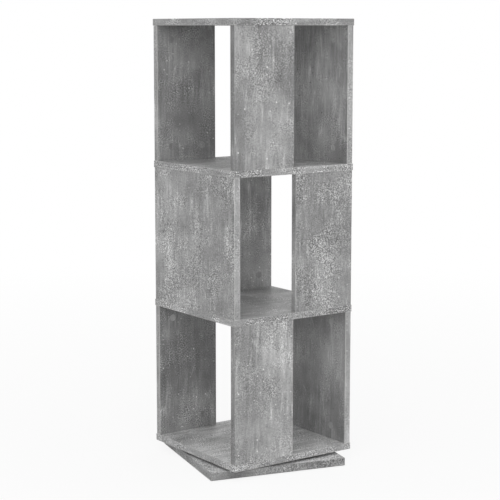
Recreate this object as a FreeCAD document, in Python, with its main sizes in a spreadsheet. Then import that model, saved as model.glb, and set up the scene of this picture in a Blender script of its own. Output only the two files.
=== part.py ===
"""Rotary filing cabinet: a three-tier chipboard file tower that turns on a flat ball bearing.

Frame: millimetres, +Z up, origin on the floor under the turning axis.  Front is -Y and left
is -X.  The tower stands square to the axes, and the base plate is turned by base_turn.
"""
import FreeCAD, Part
import os
import Sketcher

Vector = FreeCAD.Vector
Rotation = FreeCAD.Rotation

doc = FreeCAD.newDocument("RotaryFilingCabinet")

# ------------------------------------------------------------------ driving dimensions
DIMENSIONS = {
    # tower: boards, panels and the strips glued on their cut edges
    "tower_width": 348, "tower_depth": 348, "clear_height": 330, "board_thick": 16,
    "panel_thick": 16, "panel_setback": 1.2, "centre_gap": 3, "edging_thick": 0.8,
    "eased_edge": 0.3,
    # base plate and its glides
    "base_width": 348, "base_depth": 348, "base_thick": 18, "base_turn": -13.6,
    "glide_radius": 12, "glide_stand": 1, "glide_recess": 2, "glide_inset": 32,
    "glide_pin_radius": 2.5, "glide_pin_length": 9, "access_radius": 8,
    # turntable
    "plate_side": 200, "plate_corner": 8, "plate_metal": 1.5, "turntable_height": 7,
    "race_radius": 70, "race_width": 16, "race_gap": 1.5,
    "ball_radius": 2.25, "ball_play": 0.08, "ball_count": 36,
    "cage_width": 11, "cage_metal": 0.9,
    "ring_bore": 18, "ring_metal": 1.2, "ring_lip": 6, "ring_play": 0.2, "ring_running": 0.6,
    "dish_slope": 2, "dish_play": 1.5, "dish_land": 3,
    "screw_inset": 12, "screw_radius": 2, "screw_head_radius": 4, "screw_head_height": 1.7,
    "screw_length": 13, "screw_tip": 3, "screw_hole_play": 0.25,
    # cam locks, their bolts and caps, dowels
    "cam_radius": 7.4, "cam_height": 12, "cam_sink": 0.5, "cam_reach": 34, "cam_play": 0.1,
    "cam_recess_radius": 3, "cam_recess_depth": 3,
    "bolt_radius": 3, "bolt_neck_radius": 2, "bolt_head_radius": 3.4, "bolt_head_length": 3,
    "bolt_thread_radius": 2.5, "bolt_thread_length": 11, "bolt_play": 0.4,
    "full_cam_inset": 55, "half_cam_inset": 40, "full_dowel_inset": 22,
    "dowel_radius": 4, "dowel_in_board": 9, "dowel_in_panel": 21, "dowel_end_play": 0.5,
    "cap_rim": 1.1, "cap_thick": 0.5,
    # radial clearance of what is glued, screwed or pressed into a bored hole
    "fit_play": 0.05,
}
dims = doc.addObject("Spreadsheet::Sheet", "Dims")
for row, (alias, size) in enumerate(DIMENSIONS.items(), start=1):
    dims.set("A%d" % row, alias.replace("_", " "))
    dims.set("B%d" % row, str(size))
    dims.setAlias("B%d" % row, alias)
doc.recompute()

# ------------------------------------------------------------- places worked out from them
BASE_TOP = "(Dims.glide_stand + Dims.base_thick)"
TOWER_BOTTOM = "(%s + Dims.turntable_height)" % BASE_TOP
TIER_PITCH = "(Dims.clear_height + Dims.board_thick)"
PANEL_OFFSET_X = "(Dims.tower_width / 2 - Dims.panel_setback - Dims.panel_thick / 2)"
PANEL_OFFSET_Y = "(Dims.tower_depth / 2 - Dims.panel_setback - Dims.panel_thick / 2)"
FULL_WIDTH = "(Dims.tower_depth - 2 * Dims.panel_setback)"
HALF_WIDTH = "(Dims.tower_width / 2 - Dims.panel_setback - Dims.centre_gap)"
HALF_OFFSET = "(Dims.centre_gap + %s / 2)" % HALF_WIDTH
SCREW_PLACE = "(Dims.plate_side / 2 - Dims.screw_inset)"
SCREW_CORNERS = [(x_sign + SCREW_PLACE, y_sign + SCREW_PLACE)
                 for x_sign in ("-", "") for y_sign in ("-", "")]
SCREW_DEPTH = "(Dims.screw_length - Dims.plate_metal)"

TIERS = ("bottom", "middle", "top")
BOARDS = ("bottom_board", "lower_shelf", "upper_shelf", "top_board")
# the side that holds the full-width panel in each tier: +1 is right, -1 is left
FULL_SIDE = {"bottom": 1, "middle": -1, "top": 1}

nodes = []


def value(expression):
    """The number that an expression over the sheet gives now."""
    return float(dims.evalExpression(expression))


def board_level(number):
    """Underside of board 0 to 3, counted from the bottom board."""
    return "(%s + %d * %s)" % (TOWER_BOTTOM, number, TIER_PITCH)


# ------------------------------------------------------------------------ shared helpers
def origin_feature(body, role):
    return next(part for part in body.Origin.OriginFeatures if part.Role == role)


def new_body(label, turn="0", lift="0", is_node=True):
    """A body turned about Z and lifted, both bound to the sheet."""
    body = doc.addObject("PartDesign::Body", label)
    body.Label = label
    body.setExpression(".Placement.Rotation.Angle", turn)
    body.setExpression(".Placement.Base.z", lift)
    if is_node:
        nodes.append(body)
    return body


def new_sketch(body, role="XY_Plane", lift="0"):
    """A sketch on an origin plane of its body, moved along that plane's normal."""
    sketch = body.newObject("Sketcher::SketchObject", body.Name + "_sketch")
    sketch.AttachmentSupport = (origin_feature(body, role), [""])
    sketch.MapMode = "FlatFace"
    sketch.setExpression(".AttachmentOffset.Base.z", lift)
    return sketch


def pin_point(sketch, shape, point, across, up):
    """Hold a point of a sketch at a place given by two expressions."""
    for kind, place in (("DistanceX", across), ("DistanceY", up)):
        bound = sketch.addConstraint(
            Sketcher.Constraint(kind, -1, 1, shape, point, value(place)))
        sketch.setExpression("Constraints[%d]" % bound, place)


def draw_polygon(sketch, corners):
    """A closed outline through corners, each a pair of expressions."""
    spots = [Vector(value(across), value(up), 0) for across, up in corners]
    lines = [sketch.addGeometry(Part.LineSegment(start, end), False)
             for start, end in zip(spots, spots[1:] + spots[:1])]
    for line, following in zip(lines, lines[1:] + lines[:1]):
        sketch.addConstraint(Sketcher.Constraint("Coincident", line, 2, following, 1))
    for line, (across, up) in zip(lines, corners):
        pin_point(sketch, line, 1, across, up)


def draw_rectangle(sketch, width, depth):
    """A rectangle centred on the sketch's origin."""
    half = ("%s / 2" % width, "%s / 2" % depth)
    draw_polygon(sketch, [("-" + half[0], "-" + half[1]), (half[0], "-" + half[1]),
                          half, ("-" + half[0], half[1])])


def draw_circle(sketch, across, up, radius):
    centre = Vector(value(across), value(up), 0)
    circle = sketch.addGeometry(Part.Circle(centre, Vector(0, 0, 1), value(radius)), False)
    pin_point(sketch, circle, 3, across, up)
    bound = sketch.addConstraint(Sketcher.Constraint("Radius", circle, value(radius)))
    sketch.setExpression("Constraints[%d]" % bound, radius)


def draw_axis(sketch, across):
    """An upright construction line that a revolution turns about."""
    foot = Vector(value(across), 0, 0)
    line = sketch.addGeometry(Part.LineSegment(foot, foot + Vector(0, 10, 0)), True)
    pin_point(sketch, line, 1, across, "0")
    pin_point(sketch, line, 2, across, "10")
    return line


def extrude(body, kind, sketch, length, reverse=False, middle=False):
    """A Pad along the sketch's normal, or a Pocket against it, unless reversed."""
    before = body.Tip.Shape.Volume if kind == "Pocket" else 0
    feature = body.newObject("PartDesign::" + kind, body.Name + "_" + kind.lower())
    feature.Profile = sketch
    feature.Reversed = reverse
    feature.Midplane = middle
    feature.setExpression("Length", length)
    doc.recompute()
    if kind == "Pocket" and not feature.Shape.Volume < before:
        raise RuntimeError("pocket cuts nothing in " + body.Label)
    return feature


def revolve(body, kind, sketch, axis="V_Axis"):
    """A Revolution or a Groove of a sketch, all the way round its axis."""
    feature = body.newObject("PartDesign::" + kind, body.Name + "_" + kind.lower())
    feature.Profile = sketch
    feature.ReferenceAxis = (sketch, [axis])
    feature.Angle = 360
    doc.recompute()
    return feature


def mirror(body, role, originals=()):
    """Mirror features about an origin plane, or the whole shape if none are named."""
    feature = body.newObject("PartDesign::Mirrored", body.Name + "_mirror")
    if originals:
        feature.Originals = list(originals)
    else:
        feature.TransformMode = "Whole shape"
    feature.MirrorPlane = (origin_feature(body, role), [""])
    body.Tip = feature
    doc.recompute()


def repeat_round(body, original, count):
    """Repeat a feature evenly round Z."""
    feature = body.newObject("PartDesign::PolarPattern", body.Name + "_pattern")
    feature.Originals = [original]
    feature.Axis = (origin_feature(body, "Z_Axis"), [""])
    feature.Angle = 360
    feature.setExpression("Occurrences", count)
    body.Tip = feature
    doc.recompute()


def new_group(label, members, turn="0", lift="0"):
    """One node that holds several separate solids of the same kind."""
    group = doc.addObject("Part::Compound", label)
    group.Label = label
    group.Links = members
    group.setExpression(".Placement.Rotation.Angle", turn)
    group.setExpression(".Placement.Base.z", lift)
    nodes.append(group)


def new_box(label, sizes, corner):
    """A plain block: three size expressions and the expressions of its lowest corner."""
    box = doc.addObject("Part::Box", label)
    for name, size in zip(("Length", "Width", "Height"), sizes):
        box.setExpression(name, size)
    for axis, place in zip("xyz", corner):
        box.setExpression(".Placement.Base." + axis, place)
    return box


# ------------------------------------------------------------------------ panels: layout
class Panel:
    """One upright panel: where it stands, which way it faces and what it is fixed by.

    The panel's own frame has its origin at the panel's centre, X along its width and +Y
    on its inner face.
    """

    def __init__(self, tier, kind):
        self.tier = tier
        self.kind = kind
        self.label = "%s_%s_panel" % (tier, kind)
        self.level = TIERS.index(tier)
        full_side = FULL_SIDE[tier]
        if kind == "full":
            self.width = FULL_WIDTH
            self.across = "%d * %s" % (full_side, PANEL_OFFSET_X)
            self.along = "0"
            self.turn = 90 * full_side
            self.cam_place = "(%s / 2 - Dims.full_cam_inset)" % FULL_WIDTH
            self.dowel_places = ["(%s / 2 - Dims.full_dowel_inset)" % FULL_WIDTH]
            self.dowel_places.append("-" + self.dowel_places[0])
        else:
            back = kind == "back"
            self.width = HALF_WIDTH
            self.across = "%d * %s" % (-full_side, HALF_OFFSET)
            self.along = "%d * %s" % (1 if back else -1, PANEL_OFFSET_Y)
            self.turn = 180 if back else 0
            self.cam_place = "(%s / 2 - Dims.half_cam_inset)" % HALF_WIDTH
            self.dowel_places = ["0"]
        self.height = "(%s + Dims.board_thick + Dims.clear_height / 2)" % board_level(self.level)

    def stand(self, body):
        """Put a body made in the panel's own frame where the panel stands."""
        body.setExpression(".Placement.Rotation.Angle", str(self.turn))
        body.setExpression(".Placement.Base.x", self.across)
        body.setExpression(".Placement.Base.y", self.along)
        body.setExpression(".Placement.Base.z", self.height)

    def spots(self, places):
        """Places along the panel's width as seen in the tower's frame."""
        if self.kind == "full":
            return [(self.across, "(%s + %s)" % (self.along, place)) for place in places]
        return [("(%s + %s)" % (self.across, place), self.along) for place in places]

    def cam_places(self):
        return [self.cam_place, "-" + self.cam_place]


PANELS = [Panel(tier, kind) for tier in TIERS for kind in ("full", "front", "back")]


# ------------------------------------------------------------------ boards of the tower
def drill(body, spots, radius, depth, lift="0", upwards=False):
    """Blind holes at spots of a board, downwards from lift or upwards from it."""
    sketch = new_sketch(body, lift=lift)
    for across, up in spots:
        draw_circle(sketch, across, up, radius)
    return extrude(body, "Pocket", sketch, depth, reverse=upwards)


def make_core(label, width, depth, thick, turn="0", lift="0"):
    """A chipboard core, smaller all round by the strips glued on its edges."""
    body = new_body(label, turn, lift)
    sketch = new_sketch(body)
    draw_rectangle(sketch, "(%s - 2 * Dims.edging_thick)" % width,
                   "(%s - 2 * Dims.edging_thick)" % depth)
    extrude(body, "Pad", sketch, thick)
    return body


def make_edging(label, width, depth, thick, turn="0", lift="0"):
    """Four strips round a board; front and back ones cover the ends of the side ones."""
    strip = "Dims.edging_thick"
    blank = new_box(label + "_blank", (width, depth, thick),
                    ("-%s / 2" % width, "-%s / 2" % depth, "0"))
    doc.recompute()
    eased = doc.addObject("Part::Chamfer", label + "_eased")
    eased.Base = blank
    ease = value("Dims.eased_edge")
    eased.Edges = [(edge, ease, ease) for edge in range(1, len(blank.Shape.Edges) + 1)]
    between = "(%s - 2 * %s)" % (depth, strip)
    low = ("-%s / 2" % width, "-%s / 2" % depth)
    zones = {
        "front": ((width, strip, thick), (low[0], low[1], "0")),
        "back": ((width, strip, thick), (low[0], "%s / 2 - %s" % (depth, strip), "0")),
        "left": ((strip, between, thick), (low[0], "-%s / 2" % between, "0")),
        "right": ((strip, between, thick), ("%s / 2 - %s" % (width, strip),
                                            "-%s / 2" % between, "0")),
    }
    strips = []
    for side, (sizes, corner) in zones.items():
        piece = doc.addObject("Part::Common", "%s_%s" % (label, side))
        piece.Base = eased
        piece.Tool = new_box("%s_%s_zone" % (label, side), sizes, corner)
        strips.append(piece)
    new_group(label, strips, turn, lift)


for number, label in enumerate(BOARDS):
    board = make_core(label, "Dims.tower_width", "Dims.tower_depth", "Dims.board_thick",
                      lift=board_level(number))
    above = [panel for panel in PANELS if panel.level == number]
    below = [panel for panel in PANELS if panel.level == number - 1]
    for panels, face, upwards in ((above, "Dims.board_thick", False), (below, "0", True)):
        if not panels:
            continue
        bolts = [spot for panel in panels for spot in panel.spots(panel.cam_places())]
        dowels = [spot for panel in panels for spot in panel.spots(panel.dowel_places)]
        drill(board, bolts, "Dims.bolt_thread_radius + Dims.fit_play",
              "Dims.bolt_thread_length", face, upwards)
        drill(board, dowels, "Dims.dowel_radius + Dims.fit_play",
              "Dims.dowel_in_board", face, upwards)
    if label == "bottom_board":
        drill(board, SCREW_CORNERS, "Dims.screw_radius + Dims.fit_play", SCREW_DEPTH,
              upwards=True)
    make_edging(label + "_edging", "Dims.tower_width", "Dims.tower_depth",
                "Dims.board_thick", lift=board_level(number))


# ------------------------------------------------------------- panels and what fixes them
PANEL_END = "(Dims.clear_height / 2)"
INNER_FACE = "(Dims.panel_thick / 2)"
CAM_HEIGHT_UP = "(%s - Dims.cam_reach)" % PANEL_END
HEAD_TOP = "(%s + Dims.bolt_head_length / 2)" % CAM_HEIGHT_UP
HEAD_BOTTOM = "(%s - Dims.bolt_head_length / 2)" % CAM_HEIGHT_UP


def make_panel(panel):
    """The chipboard core with its cam pockets, bolt bores and dowel holes at both ends."""
    body = new_body(panel.label)
    sketch = new_sketch(body)
    draw_rectangle(sketch, "(%s - 2 * Dims.edging_thick)" % panel.width, "Dims.panel_thick")
    extrude(body, "Pad", sketch, "Dims.clear_height", middle=True)
    bolt_bores = drill(body, [(place, "0") for place in panel.cam_places()],
                       "Dims.bolt_radius + Dims.bolt_play", "Dims.cam_reach", PANEL_END)
    dowel_holes = drill(body, [(place, "0") for place in panel.dowel_places],
                        "Dims.dowel_radius + Dims.fit_play",
                        "Dims.dowel_in_panel + Dims.dowel_end_play", PANEL_END)
    pockets = new_sketch(body, "XZ_Plane", "-" + INNER_FACE)
    for place in panel.cam_places():
        draw_circle(pockets, place, CAM_HEIGHT_UP, "Dims.cam_radius + Dims.cam_play")
    cam_pockets = extrude(body, "Pocket", pockets, "Dims.cam_height + Dims.cam_sink",
                          reverse=True)
    mirror(body, "XY_Plane", (bolt_bores, dowel_holes, cam_pockets))
    panel.stand(body)


def make_panel_edging(panel):
    """Two strips on the panel's upright edges, their outer corners eased."""
    body = new_body(panel.label + "_edging")
    sketch = new_sketch(body)
    edge = "%s / 2" % panel.width
    inner = "(%s - Dims.edging_thick)" % edge
    eased = "(%s - Dims.eased_edge)" % edge
    side = INNER_FACE
    eased_side = "(%s - Dims.eased_edge)" % INNER_FACE
    right = [(inner, "-" + side), (eased, "-" + side), (edge, "-" + eased_side),
             (edge, eased_side), (eased, side), (inner, side)]
    draw_polygon(sketch, right)
    draw_polygon(sketch, [("-(%s)" % across, up) for across, up in reversed(right)])
    extrude(body, "Pad", sketch, "Dims.clear_height", middle=True)
    panel.stand(body)


def make_cams(panel):
    """Cam housings, each with a driving recess and a chamber that holds the bolt's head."""
    body = new_body(panel.label + "_cams", is_node=False)
    face = "-(%s - Dims.cam_sink)" % INNER_FACE
    disc = new_sketch(body, "XZ_Plane", face)
    draw_circle(disc, panel.cam_place, CAM_HEIGHT_UP, "Dims.cam_radius")
    extrude(body, "Pad", disc, "Dims.cam_height")
    recess = new_sketch(body, "XZ_Plane", face)
    draw_circle(recess, panel.cam_place, CAM_HEIGHT_UP, "Dims.cam_recess_radius")
    extrude(body, "Pocket", recess, "Dims.cam_recess_depth", reverse=True)
    drill(body, [(panel.cam_place, "0")], "Dims.bolt_neck_radius + Dims.bolt_play",
          "Dims.cam_reach", PANEL_END)
    drill(body, [(panel.cam_place, "0")], "Dims.bolt_head_radius + Dims.bolt_play",
          "Dims.bolt_head_length + 2 * Dims.bolt_play", HEAD_TOP + " + Dims.bolt_play")
    mirror(body, "XY_Plane")
    mirror(body, "YZ_Plane")
    panel.stand(body)
    return body


def make_bolts(panel):
    """Bolts screwed into the boards, each with its head in a cam."""
    body = new_body(panel.label + "_bolts", is_node=False)
    sketch = new_sketch(body, "XZ_Plane")
    centre = panel.cam_place
    neck_top = "(%s + Dims.cam_radius + Dims.bolt_play)" % CAM_HEIGHT_UP
    thread_end = "(%s + Dims.bolt_thread_length)" % PANEL_END
    draw_axis(sketch, centre)
    draw_polygon(sketch, [
        (centre, HEAD_BOTTOM),
        (centre + " + Dims.bolt_head_radius", HEAD_BOTTOM),
        (centre + " + Dims.bolt_head_radius", HEAD_TOP),
        (centre + " + Dims.bolt_neck_radius", HEAD_TOP),
        (centre + " + Dims.bolt_neck_radius", neck_top),
        (centre + " + Dims.bolt_radius", neck_top),
        (centre + " + Dims.bolt_radius", PANEL_END),
        (centre + " + Dims.bolt_thread_radius", PANEL_END),
        (centre + " + Dims.bolt_thread_radius", thread_end),
        (centre, thread_end)])
    revolve(body, "Revolution", sketch, "Axis0")
    mirror(body, "XY_Plane")
    mirror(body, "YZ_Plane")
    panel.stand(body)
    return body


def make_dowels(panel):
    """Wooden dowels glued into the panel's ends and the boards."""
    body = new_body(panel.label + "_dowels", is_node=False)
    sketch = new_sketch(body, lift="(%s + Dims.dowel_in_board)" % PANEL_END)
    for place in panel.dowel_places:
        draw_circle(sketch, place, "0", "Dims.dowel_radius")
    extrude(body, "Pad", sketch, "Dims.dowel_in_board + Dims.dowel_in_panel", reverse=True)
    mirror(body, "XY_Plane")
    panel.stand(body)
    return body


def make_caps(panel):
    """Thin stick-on discs on the inner face that hide the cams."""
    body = new_body(panel.label + "_caps", is_node=False)
    disc = new_sketch(body, "XZ_Plane", "-" + INNER_FACE)
    draw_circle(disc, panel.cam_place, CAM_HEIGHT_UP,
                "Dims.cam_radius + Dims.cam_play + Dims.cap_rim")
    extrude(body, "Pad", disc, "Dims.cap_thick", reverse=True)
    mirror(body, "XY_Plane")
    mirror(body, "YZ_Plane")
    panel.stand(body)
    return body


for panel in PANELS:
    make_panel(panel)
    make_panel_edging(panel)
FITTINGS = {"cam_locks": make_cams, "cam_bolts": make_bolts,
            "dowels": make_dowels, "cam_caps": make_caps}
for tier in TIERS:
    for fitting, make in FITTINGS.items():
        members = [make(panel) for panel in PANELS if panel.tier == tier]
        new_group("%s_tier_%s" % (tier, fitting), members)


# ---------------------------------------------------------------- base plate and glides
GLIDE_ACROSS = "(Dims.base_width / 2 - Dims.glide_inset)"
GLIDE_ALONG = "(Dims.base_depth / 2 - Dims.glide_inset)"
GLIDE_SPOTS = {
    "front_left": ("-" + GLIDE_ACROSS, "-" + GLIDE_ALONG),
    "front_right": (GLIDE_ACROSS, "-" + GLIDE_ALONG),
    "back_left": ("-" + GLIDE_ACROSS, GLIDE_ALONG),
    "back_right": (GLIDE_ACROSS, GLIDE_ALONG),
}

base_plate = make_core("base_plate", "Dims.base_width", "Dims.base_depth", "Dims.base_thick",
                       "Dims.base_turn", "Dims.glide_stand")
drill(base_plate, GLIDE_SPOTS.values(), "Dims.glide_radius + Dims.fit_play",
      "Dims.glide_recess", upwards=True)
drill(base_plate, GLIDE_SPOTS.values(), "Dims.glide_pin_radius + Dims.fit_play",
      "Dims.glide_recess + Dims.glide_pin_length", upwards=True)
drill(base_plate, SCREW_CORNERS, "Dims.screw_radius + Dims.fit_play", SCREW_DEPTH,
      "Dims.base_thick")
# the hole through which the screws of the upper turntable plate are driven from below
drill(base_plate, [("sqrt(2) * " + SCREW_PLACE, "0")], "Dims.access_radius",
      "Dims.base_thick", "Dims.base_thick")
make_edging("base_plate_edging", "Dims.base_width", "Dims.base_depth", "Dims.base_thick",
            "Dims.base_turn", "Dims.glide_stand")

for place, (across, along) in GLIDE_SPOTS.items():
    glide = new_body("base_glide_" + place, "Dims.base_turn")
    foot = new_sketch(glide)
    draw_circle(foot, across, along, "Dims.glide_radius")
    extrude(glide, "Pad", foot, "Dims.glide_stand + Dims.glide_recess")
    pin = new_sketch(glide)
    draw_circle(pin, across, along, "Dims.glide_pin_radius")
    extrude(glide, "Pad", pin,
            "Dims.glide_stand + Dims.glide_recess + Dims.glide_pin_length")


# ------------------------------------------------------------------------------ turntable
def make_bearing_plate(label, centre_hole, turn="0", lift="0"):
    """A square steel plate with a raised race; Z = 0 is the face against the board."""
    body = new_body(label, turn, lift)
    outline = new_sketch(body)
    draw_rectangle(outline, "Dims.plate_side", "Dims.plate_side")
    blank = extrude(body, "Pad", outline, "Dims.plate_metal")
    corners = [edge for edge in range(1, len(blank.Shape.Edges) + 1)
               if abs(blank.Shape.Edges[edge - 1].tangentAt(0).z) > 0.9]
    rounding = body.newObject("PartDesign::Fillet", body.Name + "_corners")
    rounding.Base = (blank, ["Edge%d" % edge for edge in corners])
    rounding.setExpression("Radius", "Dims.plate_corner")
    doc.recompute()
    race = new_sketch(body, "XZ_Plane")
    inside = "(Dims.race_radius - Dims.race_width / 2)"
    outside = "(Dims.race_radius + Dims.race_width / 2)"
    race_top = "((Dims.turntable_height - Dims.race_gap) / 2)"
    draw_polygon(race, [(inside, "Dims.plate_metal"), (outside, "Dims.plate_metal"),
                        (outside, race_top), (inside, race_top)])
    revolve(body, "Revolution", race)
    track = new_sketch(body, "XZ_Plane")
    draw_circle(track, "Dims.race_radius", "Dims.turntable_height / 2",
                "Dims.ball_radius + Dims.ball_play")
    revolve(body, "Groove", track)
    drill(body, [("0", "0")], centre_hole, "Dims.plate_metal", "Dims.plate_metal")
    drill(body, SCREW_CORNERS, "Dims.screw_radius + Dims.screw_hole_play",
          "Dims.plate_metal", "Dims.plate_metal")
    return body


def make_plate_screws(label, turn="0", lift="0"):
    """Four pan-head screws, heads on the plate and points in the board."""
    body = new_body(label, turn, lift)
    sketch = new_sketch(body, "XZ_Plane", "-" + SCREW_PLACE)
    centre = SCREW_PLACE
    draw_axis(sketch, centre)
    head_top = "(Dims.plate_metal + Dims.screw_head_height)"
    draw_polygon(sketch, [
        (centre, "-" + SCREW_DEPTH),
        (centre + " + Dims.screw_radius", "-(%s - Dims.screw_tip)" % SCREW_DEPTH),
        (centre + " + Dims.screw_radius", "Dims.plate_metal"),
        (centre + " + Dims.screw_head_radius", "Dims.plate_metal"),
        (centre + " + Dims.screw_head_radius", head_top + " - Dims.screw_head_height / 2"),
        (centre + " + Dims.screw_head_radius - Dims.screw_head_height / 2", head_top),
        (centre, head_top)])
    screw = revolve(body, "Revolution", sketch, "Axis0")
    repeat_round(body, screw, "4")
    return body


def hang_under_tower(body):
    """Turn a piece over so that its Z = 0 face lies against the tower's bottom board."""
    body.setExpression(".Placement.Rotation.Angle", None)
    body.Placement = FreeCAD.Placement(Vector(0, 0, 0), Rotation(Vector(1, 0, 0), 180))
    body.setExpression(".Placement.Base.z", TOWER_BOTTOM)


RING_WALL = "(Dims.ring_bore + Dims.ring_metal)"
RING_LIP_EDGE = "(%s + Dims.ring_lip)" % RING_WALL

make_bearing_plate("turntable_lower_plate", "Dims.ring_bore", "Dims.base_turn", BASE_TOP)
make_plate_screws("turntable_base_screws", "Dims.base_turn", BASE_TOP)

# the ring stands on the lower plate, and its upper lip holds down the upper plate's dish
ring = new_body("turntable_centre_ring", "Dims.base_turn", BASE_TOP)
ring_section = new_sketch(ring, "XZ_Plane")
LIP_TOP = "(Dims.turntable_height - Dims.ring_play)"
FLANGE_TOP = "(Dims.plate_metal + Dims.ring_metal)"
draw_polygon(ring_section, [
    ("Dims.ring_bore", "Dims.plate_metal"), (RING_LIP_EDGE, "Dims.plate_metal"),
    (RING_LIP_EDGE, FLANGE_TOP), (RING_WALL, FLANGE_TOP),
    (RING_WALL, LIP_TOP + " - Dims.ring_metal"), (RING_LIP_EDGE, LIP_TOP + " - Dims.ring_metal"),
    (RING_LIP_EDGE, LIP_TOP), ("Dims.ring_bore", LIP_TOP)])
revolve(ring, "Revolution", ring_section)

# the upper plate's rim is dished to pass under that lip
DISH_FACE = "(2 * Dims.ring_play + Dims.ring_metal)"
DISH_FLOOR_EDGE = "(%s + Dims.dish_play)" % RING_LIP_EDGE
DISH_TOP_EDGE = "(%s + Dims.dish_slope)" % DISH_FLOOR_EDGE
DISH_HOLE = "(%s + Dims.dish_land)" % DISH_TOP_EDGE
DISH_OUTSIDE = "(%s + Dims.plate_metal)" % DISH_HOLE
RIM_INSIDE = "(%s + Dims.ring_running)" % RING_WALL
upper_plate = make_bearing_plate("turntable_upper_plate", DISH_HOLE)
dish = new_sketch(upper_plate, "XZ_Plane")
draw_polygon(dish, [
    (RIM_INSIDE, DISH_FACE), (DISH_FLOOR_EDGE, DISH_FACE), (DISH_TOP_EDGE, "0"),
    (DISH_OUTSIDE, "0"), (DISH_OUTSIDE, "Dims.plate_metal"),
    (DISH_TOP_EDGE + " + Dims.plate_metal", "Dims.plate_metal"),
    (DISH_FLOOR_EDGE + " + Dims.plate_metal", DISH_FACE + " + Dims.plate_metal"),
    (RIM_INSIDE, DISH_FACE + " + Dims.plate_metal")])
revolve(upper_plate, "Revolution", dish)
hang_under_tower(upper_plate)
hang_under_tower(make_plate_screws("turntable_tower_screws"))

BALL_LEVEL = "(%s + Dims.turntable_height / 2)" % BASE_TOP
balls = new_body("turntable_balls", lift=BALL_LEVEL)
half_disc = new_sketch(balls, "XZ_Plane")
ball_radius = value("Dims.ball_radius")
ball_centre = Vector(value("Dims.race_radius"), 0, 0)
arc = half_disc.addGeometry(Part.ArcOfCircle(
    Part.Circle(ball_centre, Vector(0, 0, 1), ball_radius), -1.5707963, 1.5707963), False)
chord = half_disc.addGeometry(Part.LineSegment(
    ball_centre + Vector(0, ball_radius, 0), ball_centre - Vector(0, ball_radius, 0)), False)
half_disc.addConstraint(Sketcher.Constraint("Coincident", arc, 2, chord, 1))
half_disc.addConstraint(Sketcher.Constraint("Coincident", arc, 1, chord, 2))
pin_point(half_disc, chord, 1, "Dims.race_radius", "Dims.ball_radius")
pin_point(half_disc, chord, 2, "Dims.race_radius", "-Dims.ball_radius")
ball_axis = draw_axis(half_disc, "Dims.race_radius")
half_disc.addConstraint(Sketcher.Constraint("PointOnObject", arc, 3, ball_axis))
repeat_round(balls, revolve(balls, "Revolution", half_disc, "Axis0"), "Dims.ball_count")

cage = new_body("turntable_ball_cage", lift=BALL_LEVEL)
cage_ring = new_sketch(cage)
draw_circle(cage_ring, "0", "0", "Dims.race_radius + Dims.cage_width / 2")
draw_circle(cage_ring, "0", "0", "Dims.race_radius - Dims.cage_width / 2")
extrude(cage, "Pad", cage_ring, "Dims.cage_metal", middle=True)
window = drill(cage, [("Dims.race_radius", "0")], "Dims.ball_radius + Dims.ball_play",
               "Dims.cage_metal", "Dims.cage_metal / 2")
repeat_round(cage, window, "Dims.ball_count")


# ------------------------------------------------------------------------ check and write
doc.recompute()
for piece in doc.Objects:
    if "Invalid" in piece.State or "Error" in piece.State:
        raise RuntimeError("%s failed: %s" % (piece.Label, piece.State))
os.makedirs("parts", exist_ok=True)
for node in nodes:
    shape = node.Shape
    if shape.isNull() or not shape.isValid() or not shape.Solids:
        raise RuntimeError("%s has no valid solid" % node.Label)
for node in nodes:
    node.Shape.exportStep("parts/%s.step" % node.Label)
    box = node.Shape.BoundBox
    print("%-32s %3d solids  %10.0f mm3  z %7.1f to %7.1f" % (
        node.Label, len(node.Shape.Solids), node.Shape.Volume, box.ZMin, box.ZMax))
print("%d nodes" % len(nodes))
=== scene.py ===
import math

import bmesh
import bpy
from mathutils import Matrix, Vector


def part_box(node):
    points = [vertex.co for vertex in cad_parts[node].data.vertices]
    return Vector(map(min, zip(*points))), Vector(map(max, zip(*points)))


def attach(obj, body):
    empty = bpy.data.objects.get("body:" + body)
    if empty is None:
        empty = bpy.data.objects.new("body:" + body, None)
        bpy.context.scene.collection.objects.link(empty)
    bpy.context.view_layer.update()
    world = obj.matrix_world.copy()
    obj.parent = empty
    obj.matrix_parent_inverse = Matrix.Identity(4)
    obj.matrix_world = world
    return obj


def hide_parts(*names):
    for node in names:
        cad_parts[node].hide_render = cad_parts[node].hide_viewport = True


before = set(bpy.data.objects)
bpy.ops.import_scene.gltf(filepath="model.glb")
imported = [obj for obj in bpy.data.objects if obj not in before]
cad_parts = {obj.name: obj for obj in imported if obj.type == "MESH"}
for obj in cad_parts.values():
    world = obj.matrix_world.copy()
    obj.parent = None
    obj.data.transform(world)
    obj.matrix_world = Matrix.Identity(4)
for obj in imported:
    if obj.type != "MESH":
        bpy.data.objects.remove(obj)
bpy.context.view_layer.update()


# ------------------------------------------------------------------------------ base plate
# A square of 18 mm chipboard just off the floor.  Both faces carry a decor paper printed
# like trowelled concrete, pressed on under matt melamine resin.  The cut edges are covered
# with printed ABS strip, glued on hot, its arrises scraped to a small bevel.
def linear(hex_colour):
    """The linear colour that an sRGB hex value stands for."""
    parts = [int(hex_colour[place:place + 2], 16) / 255 for place in (1, 3, 5)]
    bent = [part / 12.92 if part <= 0.04045 else ((part + 0.055) / 1.055) ** 2.4
            for part in parts]
    return bent + [1.0]


def add_node(tree, kind, inputs=(), stops=(), **settings):
    """Add a shader node; each input gets a number or colour, or a link from a node."""
    node = tree.nodes.new("ShaderNode" + kind)
    for setting, choice in settings.items():
        setattr(node, setting, choice)
    for socket, source in dict(inputs).items():
        if isinstance(source, bpy.types.Node):
            source = source.outputs[0]
        if isinstance(source, bpy.types.NodeSocket):
            tree.links.new(source, node.inputs[socket])
        else:
            node.inputs[socket].default_value = source
    for number, (place, colour) in enumerate(stops):
        ramp = node.color_ramp.elements
        stop = ramp[number] if number < len(ramp) else ramp.new(place)
        stop.position = place
        stop.color = linear(colour)
    return node


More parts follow.
